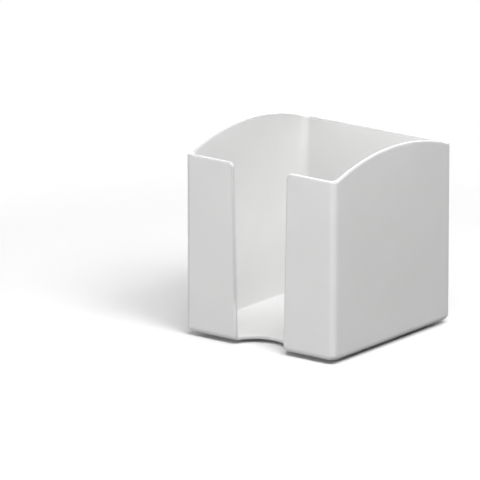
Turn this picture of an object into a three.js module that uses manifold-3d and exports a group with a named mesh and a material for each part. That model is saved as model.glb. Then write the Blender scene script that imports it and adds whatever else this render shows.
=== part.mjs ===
// Open box for a block of loose square note sheets: one moulding with four thin walls and a floor,
// side walls that rise in a shallow arch, a slot down the front wall for the fingers, a round notch
// in the floor behind it, and four soft feet let into the underside.
// Millimetres, +Z up, +Y to the back. The origin is on the table, below the middle of the box.

import * as THREE from 'three';
import { mergeVertices } from 'three/addons/utils/BufferGeometryUtils.js';
import Module from 'manifold-3d';

// Outside of the box
const boxWidth = 98;
const boxDepth = 104;
const rimHeight = 99;
const archRise = 8.4;
const cornerRadius = 3.5;
const baseEdgeRadius = 3.1;

// Walls, floor and their inner corners
const wallThickness = 2.6;
const floorThickness = 2;
const innerCornerRadius = 3.6;
const floorCoveRadius = 1;
const rimRadius = 1.1;

// Finger slot in the front wall and the notch in the floor behind it
const slotWidthAtRim = 35.2;
const slotWidthAtBase = 31;
const slotCornerRadius = 3.2;
const slotFootRadius = 2.4;
const notchDepth = 13.5;
const notchFootRadius = 0.7;

// Soft feet, each glued into a shallow round recess
const standHeight = 1.8;
const footDiameter = 10;
const footInset = 13;
const footEdgeRadius = 0.4;
const recessDepth = 0.6;
const footClearance = 0.3;
const glueFilm = 0.3;

// How far a cutter runs past what it cuts
const cutOverrun = 1;

// How fine the curves are
const cornerSteps = 8;
const archSteps = 32;
const slotCornerSteps = 6;
const slotFootSteps = 4;
const rimSteps = 3;
const baseEdgeSteps = 5;
const coveSteps = 4;
const footSides = 32;
const footEdgeSteps = 3;
const notchSegments = 24;
const notchEdgeSteps = 4;

// A base edge rounder than this share of wall and floor together would leave them too thin between
const baseEdgeLimitShare = 0.9;

// How far through the wall the floor's edge lies, counted from the outer face
const seamShare = 0.75;

// Rings through the wall that lie closer together than this share of it count as one
const ringGapShare = 0.01;

const quarterTurn = Math.PI / 2;
const undersideZ = standHeight;
const floorTopZ = undersideZ + floorThickness;
const frontY = -boxDepth / 2;
const baseEdge = Math.min(baseEdgeRadius, (wallThickness + floorThickness) * baseEdgeLimitShare);

const wasm = await Module();
wasm.setup();

// Mesh helpers

function geometryFrom(points, triangles) {
  const geometry = new THREE.BufferGeometry();
  geometry.setAttribute('position', new THREE.Float32BufferAttribute(points.flat(), 3));
  geometry.setIndex(triangles.flat());
  return geometry;
}

function solidFrom(geometry) {
  const bare = geometry.clone();
  bare.deleteAttribute('normal');
  bare.deleteAttribute('uv');
  const merged = mergeVertices(bare);
  const vertProperties = new Float32Array(merged.attributes.position.array);
  const triVerts = new Uint32Array(merged.index.array);
  return new wasm.Manifold(new wasm.Mesh({ numProp: 3, vertProperties, triVerts }));
}

function geometryOf(solid) {
  const mesh = solid.getMesh();
  const geometry = new THREE.BufferGeometry();
  geometry.setAttribute('position', new THREE.BufferAttribute(mesh.vertProperties, 3));
  geometry.setIndex(new THREE.BufferAttribute(mesh.triVerts, 1));
  return geometry;
}

// Joins two closed rings of equally many points
function strip(from, to, count) {
  const triangles = [];
  for (let i = 0; i < count; i += 1) {
    const next = (i + 1) % count;
    triangles.push([from + i, from + next, to + next], [from + i, to + next, to + i]);
  }
  return triangles;
}

// Closed body from the lowest to the highest of some level rings, each clockwise as seen from above
function loftGeometry(rings) {
  const ringLength = rings[0].length;
  const lastRing = (rings.length - 1) * ringLength;
  const triangles = [];
  for (let i = 0; i < rings.length - 1; i += 1) {
    triangles.push(...strip((i + 1) * ringLength, i * ringLength, ringLength));
  }
  for (let i = 1; i < ringLength - 1; i += 1) {
    triangles.push([0, i, i + 1], [lastRing, lastRing + i + 1, lastRing + i]);
  }
  return geometryFrom(rings.flat(), triangles);
}

const mix = (a, b, share) => a + (b - a) * share;

// Depth of a quarter-round of the given radius, at a distance from where it starts
function roundDepth(radius, distance) {
  if (distance >= radius) return 0;
  return radius - Math.sqrt(radius ** 2 - (radius - distance) ** 2);
}

// Rim: level along the front and back walls, and an arc of a circle along each side wall

const sideHalfSpan = boxDepth / 2 - cornerRadius;
const archRadius = (sideHalfSpan ** 2 + archRise ** 2) / (2 * archRise);

// Height of the rim, lowered square to its slope by the given depth
function rimZ(y, depth) {
  if (Math.abs(y) >= sideHalfSpan) return rimHeight - depth;
  const cosine = Math.sqrt(1 - (y / archRadius) ** 2);
  return rimHeight + archRise - archRadius * (1 - cosine) - depth / cosine;
}

// Plan: stations round the four walls, each with a point on the outer and on the inner face

// Points round one of the four corners, from the front left one clockwise as seen from above,
// at an inset from the outside of the box
function cornerPoints(corner, inset, radius) {
  const signX = corner < 2 ? -1 : 1;
  const signY = corner === 1 || corner === 2 ? 1 : -1;
  const points = [];
  for (let i = 0; i <= cornerSteps; i += 1) {
    const angle = -quarterTurn * (1 + corner + i / cornerSteps);
    points.push([
      signX * (boxWidth / 2 - inset - radius) + radius * Math.cos(angle),
      signY * (boxDepth / 2 - inset - radius) + radius * Math.sin(angle),
    ]);
  }
  return points;
}

function cornerStations(corner) {
  const innerPoints = cornerPoints(corner, wallThickness, innerCornerRadius);
  return cornerPoints(corner, 0, cornerRadius).map((outer, i) => ({ outer, inner: innerPoints[i] }));
}

function sideWallStations(signX) {
  const innerHalfSpan = boxDepth / 2 - wallThickness - innerCornerRadius;
  const stations = [];
  for (let i = 1; i < archSteps; i += 1) {
    const share = -signX * (2 * i / archSteps - 1);
    stations.push({
      outer: [signX * boxWidth / 2, share * sideHalfSpan],
      inner: [signX * (boxWidth / 2 - wallThickness), share * innerHalfSpan],
    });
  }
  return stations;
}

const wallStations = [
  ...cornerStations(0),
  ...sideWallStations(-1),
  ...cornerStations(1),
  ...cornerStations(2),
  ...sideWallStations(1),
  ...cornerStations(3),
];

// Edge of the slot: it leans outwards between two arcs, one at its foot and one that runs into the
// level rim

const slotLean = Math.atan((slotWidthAtRim - slotWidthAtBase) / 2 / (rimHeight - undersideZ));

// Middle of an arc, at a height above the underside and at a distance from the slot's edge
function slotCentre(height, distance) {
  const x = slotWidthAtBase / 2 + height * Math.tan(slotLean) + distance / Math.cos(slotLean);
  return { x, z: undersideZ + height };
}

function slotArc(centre, radius, angles, steps) {
  const points = [];
  for (let i = 0; i <= steps; i += 1) {
    const angle = mix(angles[0], angles[1], i / steps);
    points.push([centre.x + radius * Math.cos(angle), centre.z + radius * Math.sin(angle)]);
  }
  return points;
}

// One ring runs round the whole wall at one distance from its outer face: up one edge of the slot,
// along the rim, down the other edge, and back along the bottom. The rim and the slot's edges are
// rounded on both faces and the bottom on the outer one, so each ring is drawn in by its own depth.
// The slot's lower corners grow sharper towards the inner face, where they run into the notch.
function wallRing(distance) {
  const rimDepth = roundDepth(rimRadius, Math.min(distance, wallThickness - distance));
  const lift = roundDepth(baseEdge, distance);
  const through = distance / wallThickness;
  const footRadius = mix(slotFootRadius, notchFootRadius, through);
  const edgeAngle = Math.PI - slotLean;
  const footCentre = slotCentre(lift + footRadius, rimDepth + footRadius);
  const rimCentre = slotCentre(rimHeight - undersideZ - slotCornerRadius, slotCornerRadius);
  const edge = [
    ...slotArc(footCentre, footRadius, [Math.PI + quarterTurn, edgeAngle], slotFootSteps),
    ...slotArc(rimCentre, slotCornerRadius - rimDepth, [edgeAngle, quarterTurn], slotCornerSteps),
  ];
  const footX = edge[0][0];
  const top = [];
  const bottom = [];

  function slotEdge(signX) {
    const column = edge.map(([x, z], i) => ({ x, z, bottomX: mix(footX, rimCentre.x, i / (edge.length - 1)) }));
    if (signX > 0) column.reverse();
    for (const { x, z, bottomX } of column) {
      top.push([signX * x, frontY + distance, z]);
      bottom.push([signX * bottomX, frontY + distance, undersideZ + lift]);
    }
  }

  slotEdge(-1);
  for (const { outer, inner } of wallStations) {
    const x = mix(outer[0], inner[0], through);
    const y = mix(outer[1], inner[1], through);
    top.push([x, y, rimZ(y, rimDepth)]);
    bottom.push([x, y, undersideZ + lift]);
  }
  slotEdge(1);
  return [...top, ...bottom.slice(1, -1).reverse()];
}

// Distances of the rings, closer together where a rounding needs them
function ringDistances() {
  const distances = [];
  for (let i = 1; i <= rimSteps; i += 1) {
    const reach = rimRadius * (1 - Math.cos(quarterTurn * i / rimSteps));
    distances.push(reach, wallThickness - reach);
  }
  for (let i = 1; i <= baseEdgeSteps; i += 1) {
    distances.push(baseEdge * (1 - Math.cos(quarterTurn * i / baseEdgeSteps)));
  }
  distances.sort((a, b) => a - b);
  const ringGap = wallThickness * ringGapShare;
  const between = distances.filter((value, i) => {
    const before = i === 0 ? 0 : distances[i - 1];
    return value - before > ringGap && value < wallThickness - ringGap;
  });
  return [0, ...between, wallThickness];
}

// Closes the outer or inner face by columns from the rim down to the bottom
function wallFace(first, ringLength, outwards) {
  const columns = ringLength / 2 + 1;
  const topAt = (i) => first + i;
  const bottomAt = (i) => (i === 0 || i === columns - 1 ? topAt(i) : first + ringLength - i);
  const triangles = [];
  for (let i = 0; i < columns - 1; i += 1) {
    if (i < columns - 2) triangles.push([topAt(i), bottomAt(i + 1), topAt(i + 1)]);
    if (i > 0) triangles.push([topAt(i), bottomAt(i), bottomAt(i + 1)]);
  }
  return outwards ? triangles : triangles.map(([a, b, c]) => [a, c, b]);
}

function wallGeometry() {
  const rings = ringDistances().map(wallRing);
  const ringLength = rings[0].length;
  const points = rings.flat();
  const triangles = [];
  for (let i = 0; i < rings.length - 1; i += 1) {
    triangles.push(...strip((i + 1) * ringLength, i * ringLength, ringLength));
  }
  triangles.push(...wallFace(0, ringLength, false));
  triangles.push(...wallFace((rings.length - 1) * ringLength, ringLength, true));
  return geometryFrom(points, triangles);
}

// Floor: a shallow dish whose hollow edge runs up into the walls. Its underside goes on with the
// rounding of the base edge where that is deeper than the wall.

function floorRing(inset, z) {
  const radius = innerCornerRadius + wallThickness - inset;
  return [0, 1, 2, 3].flatMap((corner) => cornerPoints(corner, inset, radius)).map(([x, y]) => [x, y, z]);
}

function floorGeometry() {
  const seamInset = wallThickness * seamShare;
  const seamZ = undersideZ + mix(roundDepth(baseEdge, seamInset), floorThickness, 1 / 2);
  const rings = [
    floorRing(wallThickness, undersideZ + roundDepth(baseEdge, wallThickness)),
    floorRing(seamInset, seamZ),
    floorRing(seamInset, floorTopZ + floorCoveRadius),
  ];
  if (baseEdge > wallThickness) rings.unshift(floorRing(baseEdge, undersideZ));
  for (let i = 0; i <= coveSteps; i += 1) {
    const angle = quarterTurn * i / coveSteps;
    const inset = wallThickness + floorCoveRadius * (1 - Math.cos(angle));
    rings.push(floorRing(inset, floorTopZ + floorCoveRadius * (1 - Math.sin(angle))));
  }
  return loftGeometry(rings);
}

// Notch: as wide as the slot through the wall, round behind it, and wider at the underside, where
// its edge is rounded

function notchRing(widening, z) {
  const halfWidth = slotWidthAtBase / 2;
  const arcDepth = notchDepth - wallThickness;
  const arcRadius = (halfWidth ** 2 + arcDepth ** 2) / (2 * arcDepth);
  const arcCentreY = frontY + notchDepth - arcRadius;
  const startAngle = Math.atan2(frontY + wallThickness - arcCentreY, halfWidth);
  const startX = (arcRadius + widening) * Math.cos(startAngle);
  const ring = [[-startX, frontY - cutOverrun, z], [startX, frontY - cutOverrun, z]];
  for (let i = 0; i <= notchSegments; i += 1) {
    const angle = mix(startAngle, Math.PI - startAngle, i / notchSegments);
    const reach = arcRadius + widening;
    ring.push([reach * Math.cos(angle), arcCentreY + reach * Math.sin(angle), z]);
  }
  return ring.reverse();
}

function notchGeometry() {
  const footRadius = Math.min(notchFootRadius, floorThickness);
  const rings = [notchRing(footRadius, undersideZ - cutOverrun)];
  for (let i = 0; i <= notchEdgeSteps; i += 1) {
    const angle = quarterTurn * i / notchEdgeSteps;
    rings.push(notchRing(footRadius * (1 - Math.sin(angle)), undersideZ + footRadius * (1 - Math.cos(angle))));
  }
  rings.push(notchRing(0, floorTopZ + floorCoveRadius + cutOverrun));
  return loftGeometry(rings);
}

// Feet

function footPlace(signX, signY) {
  return [signX * (boxWidth / 2 - footInset), signY * (boxDepth / 2 - footInset)];
}

function recessGeometry(signX, signY) {
  const radius = footDiameter / 2 + footClearance;
  const height = recessDepth + cutOverrun;
  const [x, y] = footPlace(signX, signY);
  const geometry = new THREE.CylinderGeometry(radius, radius, height, footSides);
  return geometry.rotateX(quarterTurn).translate(x, y, undersideZ + recessDepth - height / 2);
}

function footGeometry() {
  const radius = footDiameter / 2;
  const height = standHeight + recessDepth - glueFilm;
  const profile = [new THREE.Vector2(0, 0)];
  for (let i = 0; i <= footEdgeSteps; i += 1) {
    const angle = quarterTurn * i / footEdgeSteps;
    profile.push(new THREE.Vector2(
      radius - footEdgeRadius * (1 - Math.sin(angle)),
      footEdgeRadius * (1 - Math.cos(angle)),
    ));
  }
  profile.push(new THREE.Vector2(radius, height), new THREE.Vector2(0, height));
  return new THREE.LatheGeometry(profile, footSides).rotateX(quarterTurn);
}

const feet = [
  { name: 'foot_front_left', signX: -1, signY: -1 },
  { name: 'foot_front_right', signX: 1, signY: -1 },
  { name: 'foot_back_left', signX: -1, signY: 1 },
  { name: 'foot_back_right', signX: 1, signY: 1 },
];

// Materials

const greyPlastic = new THREE.MeshStandardMaterial({ color: 0xe7e7e6, roughness: 0.46, metalness: 0 });
const footRubber = new THREE.MeshStandardMaterial({ color: 0x4a4b4d, roughness: 0.85, metalness: 0 });

// Assembly

function noteBox() {
  let solid = solidFrom(wallGeometry()).add(solidFrom(floorGeometry()));
  solid = solid.subtract(solidFrom(notchGeometry()));
  for (const { signX, signY } of feet) {
    solid = solid.subtract(solidFrom(recessGeometry(signX, signY)));
  }
  const mesh = new THREE.Mesh(geometryOf(solid), greyPlastic);
  mesh.name = 'note_box';
  return mesh;
}

function foot({ name, signX, signY }) {
  const mesh = new THREE.Mesh(footGeometry(), footRubber);
  mesh.name = name;
  const [x, y] = footPlace(signX, signY);
  mesh.position.set(x, y, 0);
  return mesh;
}

const memoCube = new THREE.Group();
memoCube.add(noteBox());
for (const each of feet) memoCube.add(foot(each));

export default memoCube;
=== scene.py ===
"""Looks of an open box for loose square note sheets: a light grey moulding on four soft feet."""
import math

import bpy
from bpy.props import FloatProperty, FloatVectorProperty, PointerProperty
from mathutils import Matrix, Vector


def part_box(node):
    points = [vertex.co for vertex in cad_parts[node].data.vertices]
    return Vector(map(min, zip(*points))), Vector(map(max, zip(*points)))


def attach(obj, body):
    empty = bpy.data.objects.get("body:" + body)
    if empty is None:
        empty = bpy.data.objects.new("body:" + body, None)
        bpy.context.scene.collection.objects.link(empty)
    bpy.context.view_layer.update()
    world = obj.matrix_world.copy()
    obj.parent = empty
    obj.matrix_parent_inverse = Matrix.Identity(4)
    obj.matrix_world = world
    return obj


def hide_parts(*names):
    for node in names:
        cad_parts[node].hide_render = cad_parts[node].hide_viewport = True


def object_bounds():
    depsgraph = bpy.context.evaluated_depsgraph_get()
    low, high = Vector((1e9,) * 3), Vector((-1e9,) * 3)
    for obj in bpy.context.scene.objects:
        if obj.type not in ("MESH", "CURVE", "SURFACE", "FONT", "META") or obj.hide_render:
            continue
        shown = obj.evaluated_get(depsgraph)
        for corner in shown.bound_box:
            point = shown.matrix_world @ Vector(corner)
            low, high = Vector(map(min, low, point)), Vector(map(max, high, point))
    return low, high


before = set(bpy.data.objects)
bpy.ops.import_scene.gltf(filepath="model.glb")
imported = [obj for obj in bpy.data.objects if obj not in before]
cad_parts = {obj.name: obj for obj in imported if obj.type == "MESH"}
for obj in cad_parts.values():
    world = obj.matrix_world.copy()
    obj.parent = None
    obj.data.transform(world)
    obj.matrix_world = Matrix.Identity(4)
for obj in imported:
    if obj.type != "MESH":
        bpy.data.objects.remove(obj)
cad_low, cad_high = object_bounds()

bl_info = {
    "name": "Open note box",
    "version": (1, 0, 0),
    "blender": (4, 5, 0),
    "location": "3D View > Sidebar > Note box",
    "description": "Builds an open note box with a finger slot, and a plain studio round it",
    "category": "Object",
}

foot_low, foot_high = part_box("foot_front_left")
QUARTER_TURN = math.pi / 2

# Steps of half a round of the walls: front, corner, side, corner, and half of the back
HALF_ROUND = (6, 12, 96, 12, 4)
HALF_ROUND_STEPS = sum(HALF_ROUND)

# Rows up the walls: round the slot's lower corner, along its straight edge, round its upper corner
WALL_ROWS = (8, 6, 12)

# Layers through the walls: outer half of the rim's rounding, its flat middle, inner half
WALL_LAYERS = (6, 4, 6)

# Rows of the floor's cove and of the small roundings, and columns round the notch and the feet
COVE_ROWS = 6
EDGE_ROWS = 5
NOTCH_COLUMNS = 180
FOOT_COLUMNS = 64

# How far through the wall the edge of the floor lies, counted from the outer face
SEAM_SHARE = 0.75

# Vertices closer than this are one: in a shape as it is bent, and in the box after its Booleans
WELD = 1e-6
WELD_AFTER_BOOLEANS = 2e-6

# Attribute that says how worn an edge is, and how much painted shade darkens it; the mean angle
# between a point's faces, in radians, at which it is full; and the area from which a face is broad,
# not part of a rounding, and gets none
EDGE_WEAR_AND_SHADE = "edge_wear"
FULL_WEAR_AND_SHADE_ANGLE = 0.2
BROAD_FACE = 5e-6

# Angles from which an edge stays sharp
SHARP_ON_BOX = math.radians(40)
SHARP_ON_FEET = math.radians(50)

# Soft boxes: distance from the middle of the box, and width or height
FAR = 1.8
CLOSE = 0.6
BROAD_LAMP = 0.9
FLAT_LAMP = 0.6
SMALL_LAMP = 0.5
MIDDLE_OF_BOX = Vector((0, 0, 0.05))

# Each soft box: its name, the setting with its power, degrees round from the front to the right,
# degrees up, distance, width and height
LAMPS = (
    ("Main light", "main_power", 40, 62, FAR, BROAD_LAMP, BROAD_LAMP),
    ("Close light", "close_power", 50, 62, CLOSE, SMALL_LAMP, SMALL_LAMP),
    ("Side light", "side_power", 82, 48, FAR, BROAD_LAMP, BROAD_LAMP),
    ("Front light", "front_power", 0, 10, FAR, BROAD_LAMP, FLAT_LAMP),
    ("Corner light", "corner_power", -30, 10, FAR, BROAD_LAMP, FLAT_LAMP),
    ("Left light", "left_power", 222, 13, FAR, BROAD_LAMP, FLAT_LAMP),
    ("Back light", "back_power", 180, 60, FAR, BROAD_LAMP, BROAD_LAMP),
)

WHITE = (1, 1, 1, 1)

# Camera, fitted to the photo: where it stands as seen from its aim, in degrees and metres, and how
# far it is shifted to the left and down from there
CAMERA_TURN = 37.339
CAMERA_TILT = 15.573
CAMERA_DISTANCE = 4.18303
CAMERA_AIM = Vector((0, 0, 0.0498))
CAMERA_LEFTWARDS = 0.041558
CAMERA_DOWNWARDS = 0.001188
SENSOR_WIDTH = 36


# Sizes, finishes and studio

def length(name, description, default):
    return FloatProperty(
        name=name, description=description, default=default, unit="LENGTH", subtype="DISTANCE")


def share(name, description, default):
    return FloatProperty(
        name=name, description=description, default=default, min=0, max=1, subtype="FACTOR")


def colour(name, description, default):
    return FloatVectorProperty(
        name=name, description=description, default=default, min=0, max=1, subtype="COLOR")


def power(name, description, default):
    return FloatProperty(name=name, description=description, default=default, min=0, unit="POWER")


class NoteBoxSizes(bpy.types.PropertyGroup):
    width: length("Width", "Outside, from side to side", cad_high.x - cad_low.x)
    depth: length("Depth", "Outside, from front to back", cad_high.y - cad_low.y)
    arch_rise: length("Arch rise", "From the level rim to the top of each side wall", 0.0084)
    rim_height: length("Rim height", "From the table to the level rim", cad_high.z - 0.0084)
    corner_radius: length("Corner radius", "Rounding of the upright outer corners", 0.0035)
    inner_corner_radius: length(
        "Inner corner radius", "Rounding of the upright inner corners", 0.0036)
    wall: length("Wall", "Thickness of the walls", 0.0026)
    floor: length("Floor", "Thickness of the floor", 0.002)
    cove_radius: length("Cove radius", "Hollow between the floor and the walls", 0.001)
    rim_radius: length("Rim radius", "Rounding of the rims and of the slot's edges", 0.0011)
    base_edge_radius: length("Base edge radius", "Rounding of the outer bottom edge", 0.0031)
    slot_width_at_rim: length("Slot width at the rim", "Finger slot, at the top", 0.0352)
    slot_width_at_base: length("Slot width at the base", "Finger slot, at the bottom", 0.031)
    slot_corner_radius: length("Slot corner radius", "Rounding of the slot's upper corners", 0.0032)
    slot_foot_radius: length(
        "Slot foot radius", "Rounding of the slot's lower corners, on the outer face", 0.0024)
    notch_depth: length("Notch depth", "From the front face to the end of the notch", 0.0135)
    notch_edge_radius: length("Notch edge radius", "Rounding of the notch's upper edge", 0.00045)
    notch_foot_radius: length("Notch foot radius", "Rounding of the notch's lower edge", 0.0007)
    stand_height: length("Stand height", "From the table to the underside", 0.0018)
    foot_diameter: length("Foot diameter", "Across one soft foot", foot_high.x - foot_low.x)
    foot_height: length(
        "Foot height", "From the table to the top of a foot", foot_high.z - foot_low.z)
    foot_inset: length("Foot inset", "From the outer faces to a foot's middle", 0.013)
    foot_edge_radius: length("Foot edge radius", "Rounding of a foot's lower edge", 0.0004)
    foot_clearance: length("Foot clearance", "Gap round a foot in its recess", 0.0003)
    recess_depth: length("Recess depth", "How deep the feet are let in", 0.0006)


class NoteBoxFinish(bpy.types.PropertyGroup):
    plastic_colour: colour("Plastic", "Colour of the moulding", (0.8, 0.8, 0.797))
    plastic_roughness: share("Plastic roughness", "Satin, from a fine spark-eroded mould", 0.46)
    grain_size: length("Grain size", "Size of the mould's spark-eroded grain", 0.00022)
    wave_size: length("Wave size", "Size of the faint waves where the moulding shrank", 0.018)
    scratch_spacing: length("Scratch spacing", "From one hairline scratch to the next", 0.006)
    # Painted shade that darkens the upper rims and edges, as a share of the plastic's colour
    painted_edge_shade_tone: share(
        "Handled tone", "Tone of edges worn by hands, as a share of the plastic's", 0.8)
    # Heights between which the edges turn smoother and take their painted shade
    wear_and_shade_from: length("Touched from", "Height from which hands wear the edges", 0.01)
    wear_and_shade_fully: length("Touched fully", "Height from which the edges are worn in full", 0.03)
    rubber_colour: colour("Rubber", "Colour of the feet", (0.07, 0.071, 0.073))
    rubber_roughness: share("Rubber roughness", "Matt foam rubber", 0.82)
    rubber_grain_size: length("Rubber grain size", "Size of the foam's grain", 0.0003)
    dust_spacing: length("Dust spacing", "Size of the patches of dust on the feet", 0.003)


class NoteBoxStudio(bpy.types.PropertyGroup):
    table_colour: colour("Table", "Colour of the table top, as the camera sees it", (1, 1, 1))
    table_return: share("Table return", "Share of the light that the table top throws back", 0.2)
    table_reach: length("Table reach", "From the middle of the table top to its edges", 3)
    plain_from: length("Plain from", "Distance at which the table starts to turn white", 0.2)
    plain_beyond: length("Plain beyond", "Distance at which only the white ground is left", 0.34)
    main_power: power("Main light", "Soft box above, in front on the right", 3.7)
    close_power: power("Close light", "Small soft box close above, in front on the right", 2.12)
    side_power: power("Side light", "Soft box on the right, for the shadow on the table", 15.6)
    front_power: power("Front light", "Low soft box in front", 9.2)
    corner_power: power("Corner light", "Low soft box in front on the left", 6)
    left_power: power("Left light", "Low soft box behind on the left", 17)
    back_power: power("Back light", "Soft box above, behind", 4.7)
    lens_length: FloatProperty(
        name="Lens", description="Focal length", default=593.65, unit="CAMERA")


# Rules of shape, written as sums of node sockets

class Term:
    """A socket of a node tree that can be reckoned with."""

    def __init__(self, tree, socket):
        self.tree = tree
        self.socket = socket

    def __add__(self, other):
        return reckon(self.tree, "ADD", self, other)

    def __sub__(self, other):
        return reckon(self.tree, "SUBTRACT", self, other)

    def __rsub__(self, other):
        return reckon(self.tree, "SUBTRACT", other, self)

    def __mul__(self, other):
        return reckon(self.tree, "MULTIPLY", self, other)

    def __truediv__(self, other):
        return reckon(self.tree, "DIVIDE", self, other)

    def __rtruediv__(self, other):
        return reckon(self.tree, "DIVIDE", other, self)

    def __pow__(self, other):
        return reckon(self.tree, "POWER", self, other)

    __radd__ = __add__
    __rmul__ = __mul__

    def root(self):
        return reckon(self.tree, "SQRT", self)

    def sine(self):
        return reckon(self.tree, "SINE", self)

    def cosine(self):
        return reckon(self.tree, "COSINE", self)

    def arctangent(self):
        return reckon(self.tree, "ARCTANGENT", self)

    def size(self):
        return reckon(self.tree, "ABSOLUTE", self)

    def sign(self):
        return reckon(self.tree, "SIGN", self)

    def at_least(self, other):
        return reckon(self.tree, "MAXIMUM", self, other)

    def at_most(self, other):
        return reckon(self.tree, "MINIMUM", self, other)


def reckon(tree, operation, *values):
    node = tree.nodes.new("ShaderNodeMath")
    node.operation = operation
    for target, value in zip(node.inputs, values):
        put(value, target)
    return Term(tree, node.outputs[0])


def put(value, target):
    """Links a term to a node's input, or writes a plain value there."""
    socket = value.socket if isinstance(value, Term) else value
    if isinstance(socket, bpy.types.NodeSocket):
        target.id_data.links.new(socket, target)
    else:
        target.default_value = value


def mix(a, b, by):
    return a + (b - a) * by


def shares_done(step, stretches):
    """Of stretches that follow each other, the share that is behind a step: 0 before a stretch
    begins, 1 once it is over."""
    begins = 0
    shares = []
    for steps in stretches:
        shares.append(((step - begins) / steps).at_least(0).at_most(1))
        begins += steps
    return shares


def add_node(tree, kind, values=None, **settings):
    """Adds a node, with its inputs set or linked by name; a list is linked to one input."""
    node = tree.nodes.new(kind)
    for setting, value in settings.items():
        setattr(node, setting, value)
    for name, value in (values or {}).items():
        for each in value if isinstance(value, list) else [value]:
            put(each, node.inputs[name])
    return node


def coordinates(tree, socket):
    node = add_node(tree, "ShaderNodeSeparateXYZ", {"Vector": socket})
    return [Term(tree, node.outputs[axis]) for axis in "XYZ"]


def point(tree, x, y, z):
    return add_node(tree, "ShaderNodeCombineXYZ", {"X": x, "Y": y, "Z": z}).outputs[0]


def shape_tree(name, inputs):
    """A Geometry Nodes tree with named sizes, a material and one geometry output."""
    tree = bpy.data.node_groups.new(name, "GeometryNodeTree")
    tree.is_modifier = True
    tree.interface.new_socket("Geometry", in_out="INPUT", socket_type="NodeSocketGeometry")
    for each in inputs:
        socket = tree.interface.new_socket(each, in_out="INPUT", socket_type="NodeSocketFloat")
        socket.subtype = "DISTANCE"
    tree.interface.new_socket("Material", in_out="INPUT", socket_type="NodeSocketMaterial")
    tree.interface.new_socket("Geometry", in_out="OUTPUT", socket_type="NodeSocketGeometry")
    entry = tree.nodes.new("NodeGroupInput")
    sizes = {each: Term(tree, entry.outputs[each]) for each in inputs}
    return tree, sizes, entry.outputs["Material"]


def close_tree(tree, geometry, material, sharp_from):
    """Smooths what isn't a sharp edge, and ends the tree with plain geometry and its material."""
    angle = add_node(tree, "GeometryNodeInputMeshEdgeAngle")
    edges = add_node(tree, "FunctionNodeCompare", {
        0: angle.outputs["Unsigned Angle"], 1: sharp_from},
        data_type="FLOAT", operation="LESS_THAN")
    faces = add_node(tree, "GeometryNodeSetShadeSmooth", {
        "Geometry": geometry, "Shade Smooth": True}, domain="FACE")
    smooth = add_node(tree, "GeometryNodeSetShadeSmooth", {
        "Geometry": faces.outputs[0], "Shade Smooth": edges.outputs[0]}, domain="EDGE")
    plain = add_node(tree, "GeometryNodeRealizeInstances", {"Geometry": smooth.outputs[0]})
    finish = add_node(tree, "GeometryNodeSetMaterial", {
        "Geometry": plain.outputs[0], "Material": material})
    add_node(tree, "NodeGroupOutput", {"Geometry": finish.outputs[0]})


def unit_grid(tree, columns, rows):
    """A flat grid one across, to be bent into a shape."""
    grid = add_node(tree, "GeometryNodeMeshGrid", {
        "Size X": 1, "Size Y": 1, "Vertices X": columns + 1, "Vertices Y": rows + 1})
    return grid.outputs["Mesh"]


def unit_place(tree):
    """Where a vertex is in a grid or block one across, from 0 to 1 each way."""
    position = tree.nodes.new("GeometryNodeInputPosition").outputs[0]
    return [each + 0.5 for each in coordinates(tree, position)]


def moved(tree, geometry, place):
    """Puts each vertex in the place that is worked out for it."""
    return add_node(tree, "GeometryNodeSetPosition", {
        "Geometry": geometry, "Position": place}).outputs[0]


def welded(tree, geometry, distance):
    """Makes one of vertices that lie in one place."""
    return add_node(tree, "GeometryNodeMergeByDistance", {
        "Geometry": geometry, "Distance": distance}).outputs[0]


def turned(tree, columns, stretches, profile):
    """A closed solid of revolution about Z; the profile gives the radius and height where so much
    of each of its stretches is done."""
    rows = sum(stretches)
    grid = unit_grid(tree, columns, rows)
    around, up, _ = unit_place(tree)
    radius, height = profile(*shares_done(up * rows, stretches))
    angle = around * (2 * math.pi)
    place = point(tree, radius * angle.cosine(), radius * angle.sine(), height)
    return welded(tree, moved(tree, grid, place), WELD)


def four_feet(tree, width, depth, inset, height, piece):
    """Copies of a piece at the four places of the feet."""
    grid = add_node(tree, "GeometryNodeMeshGrid", {
        "Size X": width - inset * 2, "Size Y": depth - inset * 2, "Vertices X": 2, "Vertices Y": 2})
    raised = add_node(tree, "GeometryNodeSetPosition", {
        "Geometry": grid.outputs["Mesh"], "Offset": point(tree, 0, 0, height)})
    copies = add_node(tree, "GeometryNodeInstanceOnPoints", {
        "Points": raised.outputs[0], "Instance": piece})
    plain = add_node(tree, "GeometryNodeRealizeInstances", {"Geometry": copies.outputs[0]})
    return plain.outputs[0]


def round_depth(radius, distance):
    """Depth of a quarter-round, at a distance from where it starts."""
    return radius - (radius ** 2 - (radius - distance).at_least(0) ** 2).root()


def walls_plan():
    """Node group: a point on the plan of the walls, by its step from the slot to the middle of the
    back."""
    tree = bpy.data.node_groups.new("Plan of the walls", "GeometryNodeTree")
    names = ("Step", "Start", "Half width", "Half depth", "Corner radius")
    for name in names:
        tree.interface.new_socket(name, in_out="INPUT", socket_type="NodeSocketFloat")
    for name in ("X", "Y", "Front share"):
        tree.interface.new_socket(name, in_out="OUTPUT", socket_type="NodeSocketFloat")
    entry = tree.nodes.new("NodeGroupInput")
    step, start, half_width, half_depth, radius = (
        Term(tree, entry.outputs[name]) for name in names)
    front, first_corner, side, second_corner, back = shares_done(step, HALF_ROUND)
    first = first_corner * QUARTER_TURN
    second = second_corner * QUARTER_TURN
    straight = half_width - radius
    x = (mix(start, straight, front) + radius * (first.sine() + second.cosine() - 1)
         - straight * back)
    y = (radius * (1 - first.cosine() + second.sine()) + (half_depth - radius) * 2 * side
         - half_depth)
    add_node(tree, "NodeGroupOutput", {"X": x, "Y": y, "Front share": front})
    return tree


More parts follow.
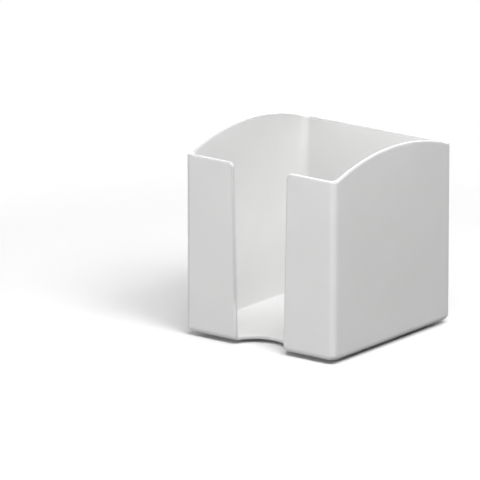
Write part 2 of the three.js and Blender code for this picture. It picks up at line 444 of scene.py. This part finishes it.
def on_plan(tree, plan, step, start, half_width, half_depth, radius):
    node = add_node(tree, "GeometryNodeGroup", {
        "Step": step, "Start": start, "Half width": half_width, "Half depth": half_depth,
        "Corner radius": radius}, node_tree=plan)
    return [Term(tree, node.outputs[name]) for name in ("X", "Y", "Front share")]


def walls(tree, plan, s):
    """The walls: a block bent round the plan, drawn in at the rims and at the slot's edges."""
    layers = sum(WALL_LAYERS)
    rows = sum(WALL_ROWS)
    block = add_node(tree, "GeometryNodeMeshCube", {
        "Size": (1, 1, 1), "Vertices X": 2 * HALF_ROUND_STEPS + 1,
        "Vertices Y": layers + 1, "Vertices Z": rows + 1})
    around, outwards, up = unit_place(tree)
    offset = around * 2 - 1
    step = (1 - offset.size()) * HALF_ROUND_STEPS

    # Distance from the outer face; how far the rims are drawn in there, and the base lifted
    outer, middle, inner = shares_done((1 - outwards) * layers, WALL_LAYERS)
    outer_turn = outer * QUARTER_TURN
    inner_turn = inner * QUARTER_TURN
    rim = s["Rim radius"]
    distance = rim * (1 - outer_turn.cosine() + inner_turn.sine()) + (s["Wall"] - rim * 2) * middle
    drawn_in = rim * (2 - outer_turn.sine() - inner_turn.cosine())
    lift = round_depth(s["Base edge radius"], distance)
    bottom = s["Stand height"] + lift

    # Edge of the slot: an arc from the bottom, a line that leans outwards, an arc into the rim
    lower_arc, straight, upper_arc = shares_done(up * rows, WALL_ROWS)
    through = distance / s["Wall"]
    foot = mix(s["Slot foot radius"], s["Notch foot radius"], through)
    corner = s["Slot corner radius"]
    rise = s["Rim height"] - s["Stand height"]
    slope = (s["Slot width at the rim"] - s["Slot width at the base"]) / 2 / rise
    lean = slope.arctangent()

    def on_arc(centre_rise, centre_distance, radius, from_turn, to_turn, done):
        """A point round one of the slot's corners, by how high and how far from the slot's edge the
        middle of the rounding is."""
        turn = mix(from_turn, to_turn, done)
        edge_x = s["Slot width at the base"] / 2 + centre_rise * slope
        centre_x = edge_x + centre_distance / lean.cosine()
        centre_z = s["Stand height"] + centre_rise
        return centre_x + radius * turn.cosine(), centre_z + radius * turn.sine()

    low_x, low_z = on_arc(lift + foot, drawn_in + foot, foot, 3 * QUARTER_TURN, math.pi - lean,
                          lower_arc)
    high_x, high_z = on_arc(rise - corner, corner, corner - drawn_in, math.pi - lean, QUARTER_TURN,
                            upper_arc)
    edge_x = mix(low_x, high_x, straight)
    edge_z = mix(low_z, high_z, straight)

    # Plan, and the arch of the side walls
    plan_radius = mix(s["Corner radius"], s["Inner corner radius"], through)
    x, y, front = on_plan(tree, plan, step, edge_x, s["Width"] / 2 - distance,
                          s["Depth"] / 2 - distance, plan_radius)
    half_span = s["Depth"] / 2 - s["Corner radius"]
    arch_radius = (half_span ** 2 + s["Arch rise"] ** 2) / (s["Arch rise"] * 2)
    cosine = (1 - (y.size().at_most(half_span) / arch_radius) ** 2).root()
    top = s["Rim height"] + s["Arch rise"] - arch_radius * (1 - cosine) - drawn_in / cosine
    row_z = (mix(bottom + foot * lower_arc, top - corner, straight)
             + corner * (upper_arc * QUARTER_TURN).sine())
    place = point(tree, x * offset.sign(), y, mix(edge_z, row_z, front))
    return moved(tree, block.outputs["Mesh"], place)


def floor_dish(tree, plan, s):
    """The floor: a dish whose hollow edge runs up into the walls, and whose underside goes on with
    the rounding of the base edge where that is deeper than the wall."""
    stretches = (1, EDGE_ROWS, 1, 1, 1, COVE_ROWS, 1)
    rows = sum(stretches)
    grid = unit_grid(tree, 2 * HALF_ROUND_STEPS, rows)
    around, along, _ = unit_place(tree)
    offset = 1 - around * 2
    step = (1 - offset.size()) * HALF_ROUND_STEPS
    begun, outwards, into_wall, raised, inwards, hollow, ended = shares_done(
        along * rows, stretches)

    # 1, but 0 for the first and last row, which close the dish at its middle
    spread = begun - ended

    # How far in from the outer faces each row is, and how high
    turn = hollow * QUARTER_TURN
    wall = s["Wall"]
    cove = s["Cove radius"]
    seam = wall * SEAM_SHARE
    inset = mix(mix(mix(s["Base edge radius"], wall, outwards), seam, into_wall), wall, inwards)
    inset = inset + cove * (1 - turn.cosine())
    lift = round_depth(s["Base edge radius"], inset)
    halfway = (lift + s["Floor"]) / 2
    height = s["Stand height"] + mix(mix(lift, halfway, into_wall), s["Floor"] + cove, raised)
    height = height - cove * turn.sine()
    radius = s["Inner corner radius"] + wall - inset
    x, y, _ = on_plan(tree, plan, step, 0, s["Width"] / 2 - inset, s["Depth"] / 2 - inset, radius)
    place = point(tree, x * offset.sign() * spread, y * spread, height)
    return welded(tree, moved(tree, grid, place), WELD)


def notch_cutter(tree, s):
    """What the notch takes out of the floor: a disc that flares where it leaves the two faces."""
    half_width = s["Slot width at the base"] / 2
    arc_depth = s["Notch depth"] - s["Wall"]
    arc_radius = (half_width ** 2 + arc_depth ** 2) / (arc_depth * 2)
    top_edge = s["Notch edge radius"]
    foot = s["Notch foot radius"]

    def profile(begun, from_below, lower, straight, upper, above, ended):
        lower_turn = lower * QUARTER_TURN
        upper_turn = upper * QUARTER_TURN
        radius = arc_radius + foot * (1 - lower_turn.sine()) + top_edge * (1 - upper_turn.cosine())
        height = (s["Stand height"] + s["Floor"] * (from_below + above - 1)
                  + foot * (1 - lower_turn.cosine()) + top_edge * upper_turn.sine()
                  + (s["Floor"] - foot - top_edge) * straight)
        return radius * (begun - ended), height

    disc = turned(tree, NOTCH_COLUMNS, (1, 1, EDGE_ROWS, 1, EDGE_ROWS, 1, 1), profile)
    place = point(tree, 0, s["Notch depth"] - arc_radius - s["Depth"] / 2, 0)
    cutter = add_node(tree, "GeometryNodeTransform", {"Geometry": disc, "Translation": place})
    return cutter.outputs[0]


def foot_recesses(tree, s):
    """What the recesses take out: discs that reach as far below the underside as above it."""
    height = s["Recess depth"] * 2
    radius = s["Foot diameter"] / 2 + s["Foot clearance"]
    disc = add_node(tree, "GeometryNodeMeshCylinder", {
        "Vertices": FOOT_COLUMNS, "Radius": radius, "Depth": height}).outputs["Mesh"]
    return four_feet(tree, s["Width"], s["Depth"], s["Foot inset"], s["Stand height"], disc)


def box_tree():
    tree, s, material = shape_tree("Moulded box", (
        "Width", "Depth", "Rim height", "Arch rise", "Corner radius", "Inner corner radius", "Wall",
        "Floor", "Cove radius", "Rim radius", "Base edge radius", "Slot width at the rim",
        "Slot width at the base", "Slot corner radius", "Slot foot radius", "Notch depth",
        "Notch edge radius", "Notch foot radius", "Stand height", "Foot diameter", "Foot inset",
        "Foot clearance", "Recess depth"))
    plan = walls_plan()
    dish = floor_dish(tree, plan, s)
    taken_out = [notch_cutter(tree, s), foot_recesses(tree, s)]
    floor = add_node(tree, "GeometryNodeMeshBoolean", {
        "Mesh 1": dish, "Mesh 2": taken_out}, operation="DIFFERENCE", solver="EXACT")
    joined = [walls(tree, plan, s), floor.outputs["Mesh"]]
    whole = add_node(tree, "GeometryNodeMeshBoolean", {
        "Mesh 2": joined}, operation="UNION", solver="EXACT")
    clean = welded(tree, whole.outputs["Mesh"], WELD_AFTER_BOOLEANS)

    # How much each point stands out, for worn edges and their painted shade, and 0 on broad faces
    angle = add_node(tree, "GeometryNodeInputMeshEdgeAngle")
    blurred = add_node(tree, "GeometryNodeBlurAttribute", {
        "Value": angle.outputs["Signed Angle"], "Iterations": 1}, data_type="FLOAT")
    stands_out = (Term(tree, blurred.outputs[0]) / FULL_WEAR_AND_SHADE_ANGLE).at_least(0).at_most(1)
    area = Term(tree, tree.nodes.new("GeometryNodeInputMeshFaceArea").outputs[0])
    narrow = (1 - area / BROAD_FACE).at_least(0).sign()
    marked = add_node(tree, "GeometryNodeStoreNamedAttribute", {
        "Geometry": clean, "Name": EDGE_WEAR_AND_SHADE, "Value": stands_out * narrow},
        data_type="FLOAT", domain="CORNER")
    close_tree(tree, marked.outputs[0], material, SHARP_ON_BOX)
    return tree


def feet_tree():
    tree, s, material = shape_tree("Soft feet", (
        "Width", "Depth", "Foot diameter", "Foot height", "Foot inset", "Foot edge radius"))
    edge = s["Foot edge radius"]
    top_edge = edge / 2

    def profile(begun, lower, straight, upper, ended):
        lower_turn = lower * QUARTER_TURN
        upper_turn = upper * QUARTER_TURN
        radius = (s["Foot diameter"] / 2 - edge * (1 - lower_turn.sine())
                  - top_edge * (1 - upper_turn.cosine()))
        height = (edge * (1 - lower_turn.cosine()) + (s["Foot height"] - edge - top_edge) * straight
                  + top_edge * upper_turn.sine())
        return radius * (begun - ended), height

    disc = turned(tree, FOOT_COLUMNS, (1, EDGE_ROWS, 1, EDGE_ROWS, 1), profile)
    feet = four_feet(tree, s["Width"], s["Depth"], s["Foot inset"], 0, disc)
    close_tree(tree, feet, material, SHARP_ON_FEET)
    return tree


def made_by(tree, name, material, sizes):
    """Runs a tree once, and leaves its result as one plain mesh object."""
    piece = bpy.data.objects.new(name, bpy.data.meshes.new(name))
    bpy.context.scene.collection.objects.link(piece)
    rule = piece.modifiers.new("Rule", "NODES")
    rule.node_group = tree

    # Each input is named after the size that goes into it
    for item in tree.interface.items_tree:
        if item.item_type == "SOCKET" and item.in_out == "INPUT" and item.name != "Geometry":
            known = item.name.lower().replace(" the ", " ").replace(" ", "_")
            rule[item.identifier] = material if item.name == "Material" else getattr(sizes, known)
    weighted = piece.modifiers.new("Weighted normals", "WEIGHTED_NORMAL")
    weighted.keep_sharp = True
    evaluated = piece.evaluated_get(bpy.context.evaluated_depsgraph_get())
    mesh = bpy.data.meshes.new_from_object(evaluated)
    piece.modifiers.clear()
    piece.data = mesh
    mesh.name = name
    if not mesh.polygons:
        raise RuntimeError(f"the tree {tree.name} made no faces for {name}")
    return piece


# Finishes

def shader_group(name, inputs, outputs):
    """A shader node group that takes a place and named numbers, and gives named numbers; returns
    it with its inputs as terms."""
    group = bpy.data.node_groups.new(name, "ShaderNodeTree")
    group.interface.new_socket("Place", in_out="INPUT", socket_type="NodeSocketVector")
    for each in inputs:
        group.interface.new_socket(each, in_out="INPUT", socket_type="NodeSocketFloat")
    for each in outputs:
        group.interface.new_socket(each, in_out="OUTPUT", socket_type="NodeSocketFloat")
    entry = group.nodes.new("NodeGroupInput")
    return group, {each: Term(group, entry.outputs[each]) for each in ("Place", *inputs)}


def noise(tree, vector, scale, detail, roughness=0.5):
    node = add_node(tree, "ShaderNodeTexNoise", {
        "Vector": vector, "Scale": scale, "Detail": detail, "Roughness": roughness})
    return Term(tree, node.outputs["Fac"])


def ramp(tree, value, low, high):
    """0 up to the low value, 1 from the high one, and smooth in between."""
    node = add_node(tree, "ShaderNodeMapRange", {
        "Value": value, "From Min": low, "From Max": high}, interpolation_type="SMOOTHSTEP")
    return Term(tree, node.outputs["Result"])


def grain_group():
    """Fine grain of a spark-eroded mould, over slow waves of shrinkage and clouds of tone."""
    clouds_per_wave = 0.45
    group, given = shader_group(
        "Moulded grain", ("Grain size", "Wave size", "Wave height"), ("Height", "Cloud"))
    place = given["Place"]
    wave_size = given["Wave size"]
    fine = noise(group, place, 1 / given["Grain size"], detail=1, roughness=0.6)
    waves = noise(group, place, 1 / wave_size, detail=0)
    cloud = noise(group, place, clouds_per_wave / wave_size, detail=2, roughness=0.55)
    add_node(group, "NodeGroupOutput", {
        "Height": fine + waves * given["Wave height"], "Cloud": cloud})
    return group


def marks_group():
    """Hairline scratches from handling, in patches, and specks of dust."""
    slant = (0.5, 0.35, 0.65)
    stretch = (1, 0.12, 1)
    patches_per_mark = 0.3
    specks_per_mark = 4
    patch_edge = (0.52, 0.66)
    speck_edge = (0.76, 0.82)
    group, given = shader_group(
        "Handling marks", ("Mark spacing", "Mark width"), ("Scratches", "Dust"))
    place = given["Place"]
    spacing = given["Mark spacing"]
    laid = add_node(group, "ShaderNodeMapping", {
        "Vector": place, "Rotation": slant, "Scale": stretch})
    lines = noise(group, laid.outputs[0], 1 / spacing, detail=0)
    near_line = 1 - ramp(group, (lines - 0.5).size(), 0, given["Mark width"])
    patches = noise(group, place, patches_per_mark / spacing, detail=1)
    specks = noise(group, place, specks_per_mark / spacing, detail=0)
    add_node(group, "NodeGroupOutput", {
        "Scratches": near_line * ramp(group, patches, *patch_edge),
        "Dust": ramp(group, specks, *speck_edge)})
    return group


def shared_groups():
    """The node groups that both materials use, made once."""
    groups = (("Moulded grain", grain_group), ("Handling marks", marks_group))
    return [bpy.data.node_groups.get(name) or make() for name, make in groups]


def emptied_tree(owner):
    """The node tree of a new material or world, without the nodes it starts with."""
    owner.use_nodes = True
    owner.node_tree.nodes.clear()
    return owner.node_tree


def new_material(name):
    material = bpy.data.materials.new(name)
    tree = emptied_tree(material)
    shader = tree.nodes.new("ShaderNodeBsdfPrincipled")
    output = tree.nodes.new("ShaderNodeOutputMaterial")
    tree.links.new(shader.outputs[0], output.inputs["Surface"])
    place = tree.nodes.new("ShaderNodeTexCoord").outputs["Object"]
    return material, tree, shader, place


def placed_group(tree, group, values):
    node = add_node(tree, "ShaderNodeGroup", values, node_tree=group)
    return {output.name: Term(tree, output) for output in node.outputs}


def blended(tree, a, b, by):
    """A colour between two, by a value over the surface."""
    node = add_node(tree, "ShaderNodeMix", data_type="RGBA")
    put(by, node.inputs["Factor"])
    for socket, value in zip([s for s in node.inputs if s.type == "RGBA"], (a, b)):
        put((*value, 1) if isinstance(value, tuple) else value, socket)
    return next(s for s in node.outputs if s.type == "RGBA")


def shaded(base, by):
    return tuple(channel * by for channel in base)


def plastic(grain, marks, finish):
    """Light grey satin plastic, off a fine spark-eroded mould."""
    dark_cloud, pale_cloud = 0.985, 1.015
    # Range of the edge attribute over which the painted shade on the edges comes in
    cloud_edge = (0.3, 0.7)
    painted_shade_edge = (0.35, 0.62)
    scratch_tone, scratch_share = 1.05, 0.25
    scratch_width, scratch_depth = 0.01, 0.15
    cloud_dulls, rubbing_polishes = 0.05, 0.08
    wave_height = 0.5
    grain_depth, grain_strength = 0.00003, 0.35
    refraction = 1.49
    material, tree, shader, place = new_material("Grey satin plastic")
    base = tuple(finish.plastic_colour)
    skin = placed_group(tree, grain, {
        "Place": place, "Grain size": finish.grain_size, "Wave size": finish.wave_size,
        "Wave height": wave_height})
    worn = placed_group(tree, marks, {
        "Place": place, "Mark spacing": finish.scratch_spacing, "Mark width": scratch_width})
    scratches = worn["Scratches"]
    attribute = add_node(
        tree, "ShaderNodeAttribute", attribute_name=EDGE_WEAR_AND_SHADE, attribute_type="GEOMETRY")
    height = coordinates(tree, place)[2]
    # Edges above a height: smoother in the gloss, and darker in the colour by painted shade
    wear_and_shade = (Term(tree, attribute.outputs["Fac"])
            * ramp(tree, height, finish.wear_and_shade_from, finish.wear_and_shade_fully))
    cloud = ramp(tree, skin["Cloud"], *cloud_edge)

    # Colour: faint clouds, painted shade that darkens the upper edges and rims, paler scratches
    body = blended(tree, shaded(base, dark_cloud), shaded(base, pale_cloud), cloud)
    painted_shade_on_edges = blended(
        tree, body, shaded(base, finish.painted_edge_shade_tone), ramp(tree, wear_and_shade, *painted_shade_edge))
    scratched = blended(tree, painted_shade_on_edges, shaded(base, scratch_tone), scratches * scratch_share)
    put(scratched, shader.inputs["Base Color"])

    # Gloss and relief: edges and scratches are rubbed a little smoother
    rubbed = (wear_and_shade + scratches) * rubbing_polishes
    put(finish.plastic_roughness + cloud * cloud_dulls - rubbed, shader.inputs["Roughness"])
    relief = skin["Height"] - scratches * scratch_depth
    bump = add_node(tree, "ShaderNodeBump", {
        "Height": relief, "Strength": grain_strength, "Distance": grain_depth})
    put(bump.outputs[0], shader.inputs["Normal"])
    put(refraction, shader.inputs["IOR"])
    return material


def rubber(grain, marks, finish):
    """Matt dark foam rubber, with a little dust."""
    dark_cloud, pale_cloud = 0.88, 1.15
    cloud_edge = (0.35, 0.65)
    cloud_dulls = 0.08
    dust_colour, dust_share = (0.3, 0.29, 0.28), 0.35
    wave_size, wave_height = 0.004, 0.3
    grain_depth, grain_strength = 0.00008, 0.6
    gloss = 0.35
    material, tree, shader, place = new_material("Dark foot rubber")
    base = tuple(finish.rubber_colour)
    skin = placed_group(tree, grain, {
        "Place": place, "Grain size": finish.rubber_grain_size, "Wave size": wave_size,
        "Wave height": wave_height})
    worn = placed_group(tree, marks, {"Place": place, "Mark spacing": finish.dust_spacing})
    cloud = ramp(tree, skin["Cloud"], *cloud_edge)
    body = blended(tree, shaded(base, dark_cloud), shaded(base, pale_cloud), cloud)
    dusty = blended(tree, body, dust_colour, worn["Dust"] * dust_share)
    put(dusty, shader.inputs["Base Color"])
    put(finish.rubber_roughness + cloud * cloud_dulls, shader.inputs["Roughness"])
    bump = add_node(tree, "ShaderNodeBump", {
        "Height": skin["Height"], "Strength": grain_strength, "Distance": grain_depth})
    put(bump.outputs[0], shader.inputs["Normal"])
    put(gloss, shader.inputs["Specular IOR Level"])
    return material


# Studio

def seen_rays(tree):
    """1 for rays that show the ground: from the camera, and off or through gloss and glass."""
    path = tree.nodes.new("ShaderNodeLightPath")
    camera, glossy, through = (Term(tree, path.outputs[name]) for name in (
        "Is Camera Ray", "Is Glossy Ray", "Is Transmission Ray"))
    return camera.at_least(glossy).at_least(through)


def table_top(studio):
    """Pale table top near the box, which runs into a white ground."""
    material = bpy.data.materials.new("Pale table top")
    tree = emptied_tree(material)
    seen = seen_rays(tree)
    near = tree.nodes.new("ShaderNodeMixShader")
    put(seen, near.inputs[0])
    for target, by in ((near.inputs[1], studio.table_return), (near.inputs[2], 1)):
        surface = add_node(tree, "ShaderNodeBsdfDiffuse", {
            "Color": (*shaded(studio.table_colour, by), 1)})
        tree.links.new(surface.outputs[0], target)
    place = tree.nodes.new("ShaderNodeTexCoord").outputs["Object"]
    away = add_node(tree, "ShaderNodeVectorMath", {0: place}, operation="LENGTH").outputs["Value"]
    plain = ramp(tree, Term(tree, away), studio.plain_from, studio.plain_beyond)
    ground = add_node(tree, "ShaderNodeEmission", {"Color": WHITE, "Strength": 1})
    mixed = tree.nodes.new("ShaderNodeMixShader")
    put(plain * seen, mixed.inputs[0])
    tree.links.new(near.outputs[0], mixed.inputs[1])
    tree.links.new(ground.outputs[0], mixed.inputs[2])
    output = tree.nodes.new("ShaderNodeOutputMaterial")
    tree.links.new(mixed.outputs[0], output.inputs["Surface"])
    return material


def white_ground():
    """A world that shows as white, and lights nothing."""
    world = bpy.data.worlds.new("White ground")
    tree = emptied_tree(world)
    ground = add_node(tree, "ShaderNodeBackground", {"Color": WHITE})
    put(seen_rays(tree), ground.inputs["Strength"])
    output = tree.nodes.new("ShaderNodeOutputWorld")
    tree.links.new(ground.outputs[0], output.inputs["Surface"])
    return world


def direction(turn, tilt):
    """Where a thing stands as seen from the box, by degrees round from the front to the right and
    degrees up."""
    turn, tilt = math.radians(turn), math.radians(tilt)
    level = math.cos(tilt)
    return Vector((math.sin(turn) * level, -math.cos(turn) * level, math.sin(tilt)))


def soft_box(name, energy, turn, tilt, distance, width, height):
    """A soft light that faces the middle of the box."""
    light = bpy.data.lights.new(name, "AREA")
    light.shape = "RECTANGLE"
    light.size = width
    light.size_y = height
    light.energy = energy
    towards = direction(turn, tilt)
    lamp = bpy.data.objects.new(name, light)
    lamp.location = MIDDLE_OF_BOX + towards * distance
    lamp.rotation_euler = (-towards).to_track_quat("-Z", "Y").to_euler()
    bpy.context.scene.collection.objects.link(lamp)


def add_camera(lens):
    """Camera in front of the box on the right, looking a little down."""
    back = direction(CAMERA_TURN, CAMERA_TILT)
    right = direction(CAMERA_TURN + 90, 0)
    up = back.cross(right)
    data = bpy.data.cameras.new("Camera")
    data.sensor_width = SENSOR_WIDTH
    data.lens = lens
    camera = bpy.data.objects.new("Camera", data)
    camera.location = (CAMERA_AIM + back * CAMERA_DISTANCE
                       - right * CAMERA_LEFTWARDS - up * CAMERA_DOWNWARDS)
    camera.rotation_mode = "QUATERNION"
    camera.rotation_quaternion = (-back).to_track_quat("-Z", "Y")
    bpy.context.scene.collection.objects.link(camera)
    bpy.context.scene.camera = camera


# Operators

class NOTEBOX_OT_moulding(bpy.types.Operator):
    """Builds the box: four walls, the floor, the finger slot and the notch"""
    bl_idname = "notebox.moulding"
    bl_label = "Moulding"

    def execute(self, context):
        scene = context.scene
        material = plastic(*shared_groups(), scene.note_box_finish)
        piece = made_by(box_tree(), "note_box_moulding", material, scene.note_box_sizes)
        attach(piece, "root")
        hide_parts("note_box")
        return {"FINISHED"}


class NOTEBOX_OT_feet(bpy.types.Operator):
    """Builds the four soft feet in their recesses"""
    bl_idname = "notebox.feet"
    bl_label = "Soft feet"

    def execute(self, context):
        scene = context.scene
        material = rubber(*shared_groups(), scene.note_box_finish)
        piece = made_by(feet_tree(), "soft_feet", material, scene.note_box_sizes)
        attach(piece, "root")
        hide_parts("foot_front_left", "foot_front_right", "foot_back_left", "foot_back_right")
        return {"FINISHED"}


class NOTEBOX_OT_studio(bpy.types.Operator):
    """Builds the pale table top, the white ground, the soft lights and the camera"""
    bl_idname = "notebox.studio"
    bl_label = "Studio"

    def execute(self, context):
        scene = context.scene
        studio = scene.note_box_studio
        reach = studio.table_reach
        corners = [(-reach, -reach, 0), (reach, -reach, 0), (reach, reach, 0), (-reach, reach, 0)]
        mesh = bpy.data.meshes.new("table_top")
        mesh.from_pydata(corners, [], [(0, 1, 2, 3)])
        mesh.materials.append(table_top(studio))
        table = bpy.data.objects.new("table_top", mesh)
        scene.collection.objects.link(table)
        scene.world = white_ground()
        for name, power_setting, *place in LAMPS:
            soft_box(name, getattr(studio, power_setting), *place)
        add_camera(studio.lens_length)
        scene.view_settings.view_transform = "Standard"
        return {"FINISHED"}


class NOTEBOX_PT_panel(bpy.types.Panel):
    """Lists the pieces of the note box and its studio"""
    bl_idname = "NOTEBOX_PT_panel"
    bl_label = "Note box"
    bl_space_type = "VIEW_3D"
    bl_region_type = "UI"
    bl_category = "Note box"

    def draw(self, context):
        for operator in OPERATORS:
            self.layout.operator(operator.bl_idname)
        for group in GROUPS:
            settings = getattr(context.scene, group)
            column = self.layout.column()
            for name in settings.__annotations__:
                column.prop(settings, name)


OPERATORS = (NOTEBOX_OT_moulding, NOTEBOX_OT_feet, NOTEBOX_OT_studio)
GROUPS = {
    "note_box_sizes": NoteBoxSizes,
    "note_box_finish": NoteBoxFinish,
    "note_box_studio": NoteBoxStudio,
}


def register():
    for group, kind in GROUPS.items():
        bpy.utils.register_class(kind)
        setattr(bpy.types.Scene, group, PointerProperty(type=kind))
    for kind in (*OPERATORS, NOTEBOX_PT_panel):
        bpy.utils.register_class(kind)


def unregister():
    for kind in (NOTEBOX_PT_panel, *reversed(OPERATORS)):
        bpy.utils.unregister_class(kind)
    for group, kind in GROUPS.items():
        delattr(bpy.types.Scene, group)
        bpy.utils.unregister_class(kind)


def main():
    register()
    bpy.ops.notebox.moulding()
    bpy.ops.notebox.feet()
    bpy.ops.notebox.studio()


if __name__ == "__main__":
    main()
